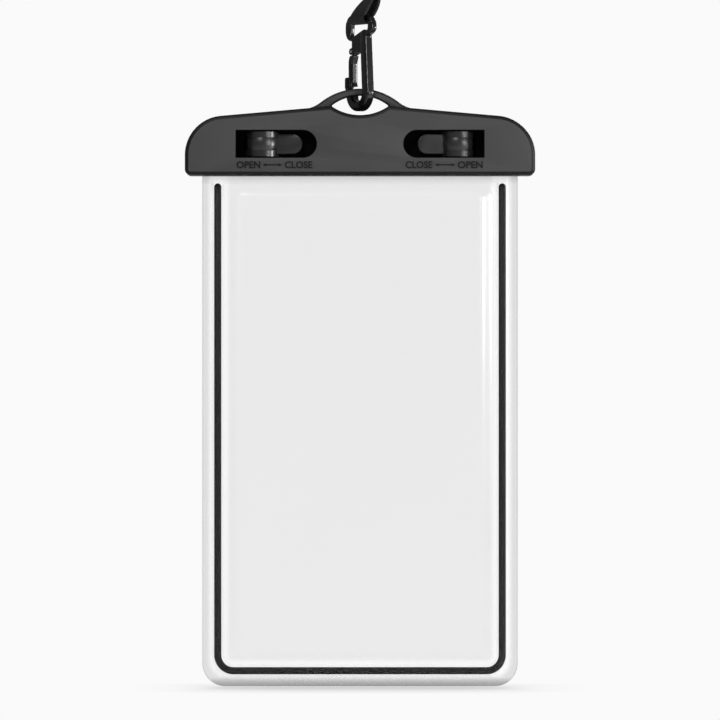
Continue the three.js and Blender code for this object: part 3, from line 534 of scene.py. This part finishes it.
# Clamp
WELL_LOW = CLAMP_BOTTOM + 5 * MM
WELL_HIGH = CLAMP_BOTTOM + 15.8 * MM
WELL_SPAN = (13 * MM, 42 * MM)
WELL_BACK = 5.8 * MM
FACE_SKIN = 0.1 * MM
FACE_NORMAL = 0.97


def make_clamp(material, edge, well):
    """Both shells: grained faces, smoother edges painted darker as shade, and the lock wells painted
    black as shade.
    """
    for node in ("clamp_front_shell", "clamp_rear_shell"):
        obj = eased(node, node.replace("clamp", "pouch_clamp"), "pouch", 0.12 * MM)
        for look in (material, edge, well):
            obj.data.materials.append(look)
        for face in obj.data.polygons:
            x, y, z = face.center
            in_well = WELL_SPAN[0] < abs(x) < WELL_SPAN[1] and WELL_LOW < z < WELL_HIGH
            # Faces inside the lock wells take the black painted shade
            if in_well and CLAMP_FACE + FACE_SKIN < y < WELL_BACK:
                face.material_index = 2
            # Every bevel, side and wall face takes the painted-shade edge colour
            elif abs(face.normal.y) < FACE_NORMAL:
                face.material_index = 1


# Lettering: its height above the bag's bottom edge, its own height, and how far it is raised
LETTER_LOW = 171.25 * MM
LETTER_TALL = 2.35 * MM
LETTER_RAISE = 0.22 * MM


def word(text, x0, x1):
    """A raised word on the clamp's face, as wide as the space from x0 to x1."""
    curve = bpy.data.curves.new("word", "FONT")
    curve.body = text
    curve.extrude = 0.02
    curve.bevel_depth = 0.012
    curve.offset = 0.006
    curve.resolution_u = 3
    obj = link_in(bpy.data.objects.new("word", curve))
    graph = bpy.context.evaluated_depsgraph_get()
    mesh = bpy.data.meshes.new_from_object(obj.evaluated_get(graph))
    bpy.data.objects.remove(obj)
    low = [min(v.co[n] for v in mesh.vertices) for n in range(3)]
    span = [max(v.co[n] for v in mesh.vertices) - low[n] for n in range(3)]
    for v in mesh.vertices:
        across, up, deep = ((v.co[n] - low[n]) / span[n] for n in range(3))
        x = x0 + across * (x1 - x0)
        y = CLAMP_FACE + LETTER_RAISE - deep * 2 * LETTER_RAISE
        z = BAG_BOTTOM + LETTER_LOW + up * LETTER_TALL
        v.co = (x, y, z)
    return mesh


def arrow(x0, x1):
    """A raised double arrow between two words."""
    z = BAG_BOTTOM + LETTER_LOW + LETTER_TALL / 2
    bar, head, long = 0.16 * MM, 0.5 * MM, 1.1 * MM
    flat = [
        (x0, 0), (x0 + long, head), (x0 + long, bar), (x1 - long, bar), (x1 - long, head),
        (x1, 0), (x1 - long, -head), (x1 - long, -bar), (x0 + long, -bar), (x0 + long, -head),
    ]
    count = len(flat)
    front = CLAMP_FACE - LETTER_RAISE
    back = CLAMP_FACE + LETTER_RAISE
    verts = [(x, front, z + dz) for x, dz in flat] + [(x, back, z + dz) for x, dz in flat]
    faces = [(0, 1, 9), (1, 2, 8, 9), (2, 3, 7, 8), (3, 4, 6, 7), (4, 5, 6)]
    faces += [tuple(v + count for v in reversed(f)) for f in faces[:5]]
    faces += [(i, i + count, (i + 1) % count + count, (i + 1) % count) for i in range(count)]
    mesh = bpy.data.meshes.new("arrow")
    mesh.from_pydata(verts, [], faces)
    return mesh


# Words and arrows, each from one x to another, in millimetres, read off the photograph
WORDS = (
    ("OPEN", -40.7, -32.9), ("CLOSE", -24.8, -15.7), ("CLOSE", 15.1, 23.9), ("OPEN", 32.3, 40.5),
)
ARROWS = ((-32.0, -25.7), (24.8, 31.4))


def make_lettering(material):
    """OPEN and CLOSE with their arrows, under both locks, as one raised piece."""
    meshes = [word(text, a * MM, b * MM) for text, a, b in WORDS]
    meshes += [arrow(a * MM, b * MM) for a, b in ARROWS]
    joined = bmesh.new()
    for mesh in meshes:
        joined.from_mesh(mesh)
        bpy.data.meshes.remove(mesh)
    bmesh.ops.recalc_face_normals(joined, faces=joined.faces)
    made = bpy.data.meshes.new("clamp_lettering")
    joined.to_mesh(made)
    joined.free()
    obj = settle(bpy.data.objects.new("clamp_lettering", made), "pouch")
    obj.data.set_sharp_from_angle(angle=math.radians(40))
    obj.data.materials.append(material)


def make_locks(material):
    for side in ("left", "right"):
        obj = eased(side + "_lock_lever", side + "_cam_lever", side + "_lock", 0, 28)
        obj.data.materials.append(material)


# Hook
def make_hook(material):
    for node, body, voxel in (("hook_body", "hook", 0.18), ("hook_gate", "gate", 0.15)):
        obj = moulded(node, node.replace("hook", "snap_hook"), body, voxel * MM, 7)
        obj.data.materials.append(material)


# Webbing: the same route as in the part's source
def bezier(a, b, c, d, steps):
    made = []
    for i in range(1, steps + 1):
        t = i / steps
        u = 1 - t
        w = (u * u * u, 3 * u * u * t, 3 * u * t * t, t * t * t)
        made.append(tuple(sum(k * p[n] for k, p in zip(w, (a, b, c, d))) for n in (0, 1)))
    return made


def arc(z, r, start, end, steps):
    angles = [start + (end - start) * i / steps for i in range(1, steps + 1)]
    return [(r * math.cos(a), z + r * math.sin(a)) for a in angles]


def straight(a, b, steps):
    return [tuple(a[n] + (b[n] - a[n]) * i / steps for n in (0, 1)) for i in range(1, steps + 1)]


def strap_line():
    apart = (STRAP_THICK + PLY_GAP) / 2
    ring = LOOP_INNER + STRAP_THICK / 2
    top = HANG_LOOP_RADIUS + STRAP_THICK / 2
    low = CRIMP_BOTTOM - CRIMP_LIP
    high = CRIMP_TOP + CRIMP_LIP / 2
    joint = (CRIMP_BOTTOM + CRIMP_TOP) / 2
    mid = (low + RING_TOP) / 2
    bend = HANG_LOOP_BEND
    line = [(-apart, joint - PLY_GAP)]
    line += straight(line[-1], (-apart, low), 6)
    line += bezier(line[-1], (-apart, mid), (-ring, mid), (-ring, RING_TOP), 14)
    line += straight(line[-1], (-ring, RING_TURN_Z), 3)
    line += arc(RING_TURN_Z, ring, math.pi, 2 * math.pi, 16)
    line += straight(line[-1], (ring, RING_TOP), 3)
    line += bezier(line[-1], (ring, mid), (apart, mid), (apart, low), 14)
    line += straight(line[-1], (apart, high), 10)
    line += bezier(line[-1], (apart, high + bend), (top, LOOP_TOP - bend), (top, LOOP_TOP), 10)
    line += arc(LOOP_TOP, top, 0, math.pi, 18)
    line += bezier(line[-1], (-top, LOOP_TOP - bend), (-apart, high + bend), (-apart, high), 10)
    line += straight(line[-1], (-apart, joint + PLY_GAP), 6)
    return line


def strap_place(u, v, z):
    """A point of the webbing: u across its width and v through its plies, stepped sideways
    beside the ring's bar, and leaned and twisted above it."""
    left = 1 - min(max((z - LEAN_TOP) / (LOOP_TOP - LEAN_TOP), 0), 1)
    rise = min(max((z - RING_TOP) / LEAN_HEIGHT, 0), 1)
    step = STRAP_SKEW * smooth((z - RING_TURN_Z) / (RING_TOP - RING_TURN_Z))
    turn = HOOK_TURN + STRAP_TWIST * smooth(rise)
    shift = (RING_SHIFT + step) * left
    x = u * math.cos(turn) + v * math.sin(turn) + shift * math.cos(HOOK_TURN)
    y = v * math.cos(turn) - u * math.sin(turn) - shift * math.sin(HOOK_TURN)
    return (x + LEAN_RATE * LEAN_HEIGHT * rise * left, y, z)


def make_strap(material):
    """The webbing: one flat section carried along its route, with a UV map for its weave."""
    line = strap_line()
    wide = 10
    flat, blunt = 0.48, 0.25
    half = [(-0.5, -blunt)]
    half += [(-flat + 2 * flat * i / wide, -0.5) for i in range(wide + 1)]
    half += [(0.5, -blunt)]
    ring = half + [(-u, -t) for u, t in half]
    count = len(ring)
    verts, run = [], [0.0]
    for i, (v, z) in enumerate(line):
        before, after = line[max(i - 1, 0)], line[min(i + 1, len(line) - 1)]
        along = Vector((after[0] - before[0], after[1] - before[1])).normalized()
        if i:
            run.append(run[-1] + math.dist(line[i - 1], line[i]))
        for u, t in ring:
            off = t * STRAP_THICK
            verts.append(strap_place(u * STRAP_WIDTH, v - along.y * off, z + along.x * off))
    faces = [tuple(reversed(range(count)))]
    faces.append(tuple(range(len(verts) - count, len(verts))))
    for i in range(len(line) - 1):
        for k in range(count):
            a, b = i * count + k, i * count + (k + 1) % count
            faces.append((a, b, b + count, a + count))
    obj = piece("webbing_loop", verts, faces, "strap", ("lanyard_strap",))
    made = bmesh.new()
    made.from_mesh(obj.data)
    bmesh.ops.recalc_face_normals(made, faces=made.faces)
    layer = made.loops.layers.uv.new("weave")
    thread = 0.5 * MM
    for face in made.faces:
        for loop in face.loops:
            station, k = divmod(loop.vert.index, count)
            loop[layer].uv = (ring[k][0] * STRAP_WIDTH / thread, run[station] / thread)
    made.to_mesh(obj.data)
    made.free()
    obj.data.shade_smooth()
    obj.data.set_sharp_from_angle(angle=math.radians(50))
    obj.data.materials.append(material)
    path = [strap_place(0, v, z) for v, z in line]
    length = sum(math.dist(a, b) for a, b in zip(path, path[1:]))
    print("webbing length", round(length, 4))


# Stage and light
PALE = 0.955  # the ground where the camera sees it
AMBIENT = 0.25  # its light on the part
FLOOR_SIZE = 3.0
FLOOR_GAP = 0.6 * MM
# Painted shadow on the floor: how dark it gets, and how far it reaches
SHADOW_DARK = 0.38
SHADOW_REACH = 0.035


def make_stage():
    z = BAG_BOTTOM - FLOOR_GAP
    far = FLOOR_SIZE
    mesh = bpy.data.meshes.new("floor")
    corners = [(-far, -far, z), (far, -far, z), (far, far, z), (-far, far, z)]
    mesh.from_pydata(corners, [], [(0, 1, 2, 3)])
    floor = link_in(bpy.data.objects.new("floor", mesh))
    made, nodes, links, shader = new_material("floor")
    shader.inputs["Base Color"].default_value = (0.9, 0.9, 0.9, 1)
    shader.inputs["Roughness"].default_value = 0.9
    # The floor's shadow is painted: its glow for the camera darkens by ambient occlusion
    painted_shadow = add_node(nodes, "ShaderNodeAmbientOcclusion", Distance=SHADOW_REACH)
    painted_shadow.samples = 16
    glow = nodes.new("ShaderNodeEmission")
    strength = varied(nodes, links, painted_shadow.outputs["AO"], SHADOW_DARK, PALE)
    links.new(strength, glow.inputs["Strength"])
    mix = nodes.new("ShaderNodeMixShader")
    links.new(seen_rays(nodes, links), mix.inputs["Fac"])
    links.new(shader.outputs["BSDF"], mix.inputs[1])
    links.new(glow.outputs["Emission"], mix.inputs[2])
    links.new(mix.outputs["Shader"], nodes["Material Output"].inputs["Surface"])
    mesh.materials.append(made)


def make_world():
    world = bpy.data.worlds.new("world")
    bpy.context.scene.world = world
    world.use_nodes = True
    nodes, links = world.node_tree.nodes, world.node_tree.links
    back = nodes["Background"]
    back.inputs["Color"].default_value = (1, 1, 1, 1)
    strength = varied(nodes, links, seen_rays(nodes, links), AMBIENT, PALE)
    links.new(strength, back.inputs["Strength"])


def lamp(name, place, aim, size, power):
    data = bpy.data.lights.new(name, "AREA")
    data.shape = "RECTANGLE"
    data.size, data.size_y = size
    data.energy = power
    obj = link_in(bpy.data.objects.new(name, data))
    obj.location = place
    obj.rotation_euler = (Vector(aim) - Vector(place)).to_track_quat("-Z", "Y").to_euler()
    obj.visible_transmission = False
    obj.visible_camera = False


def make_lights():
    clamp = (0, 0, CLAMP_BOTTOM + 0.01)
    bag = (0, 0, BAG_BOTTOM + 0.12)
    lamp("front", (-0.35, -1.1, 0.85), bag, (0.4, 0.4), 9.0)
    lamp("key", (0.78, -0.75, 0.1), clamp, (0.3, 0.3), 4.5)
    lamp("back", (0.5, 1.1, 0.5), bag, (0.5, 0.5), 9.0)
    lamp("side", (0.68, -0.145, -0.06), clamp, (0.1, 0.1), 3.0)


# Pieces that keep their CAD shape, out of sight or nearly so
HIDDEN = {
    "left_lock_pin": "steel", "right_lock_pin": "steel", "hook_gate_pin": "steel",
    "front_seal_strip": "rubber", "rear_seal_strip": "rubber",
}


def dress_hidden(looks):
    for node, look in HIDDEN.items():
        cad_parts[node].data.materials.clear()
        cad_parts[node].data.materials.append(looks[look])


scene = bpy.context.scene
scene.view_settings.view_transform = "Standard"
scene.cycles.transparent_max_bounces = 32
make_camera()
looks = make_materials()
dress_hidden(looks)
crimp_piece = eased("strap_crimp", "webbing_crimp", "strap", 0.25 * MM)
crimp_piece.data.materials.append(looks["crimp"])
make_strap(looks["webbing"])
film_mesh(-1, "front_film", "front_sheet", looks["film"])
film_mesh(1, "rear_film", "rear_sheet", looks["film"])
make_strip(looks["strip"])
make_clamp(looks["clamp"], looks["edge"], looks["well"])
# The lettering takes the edges' painted-shade colour
make_lettering(looks["edge"])
make_locks(looks["lock"])
make_hook(looks["hook"])
make_stage()
make_world()
make_lights()
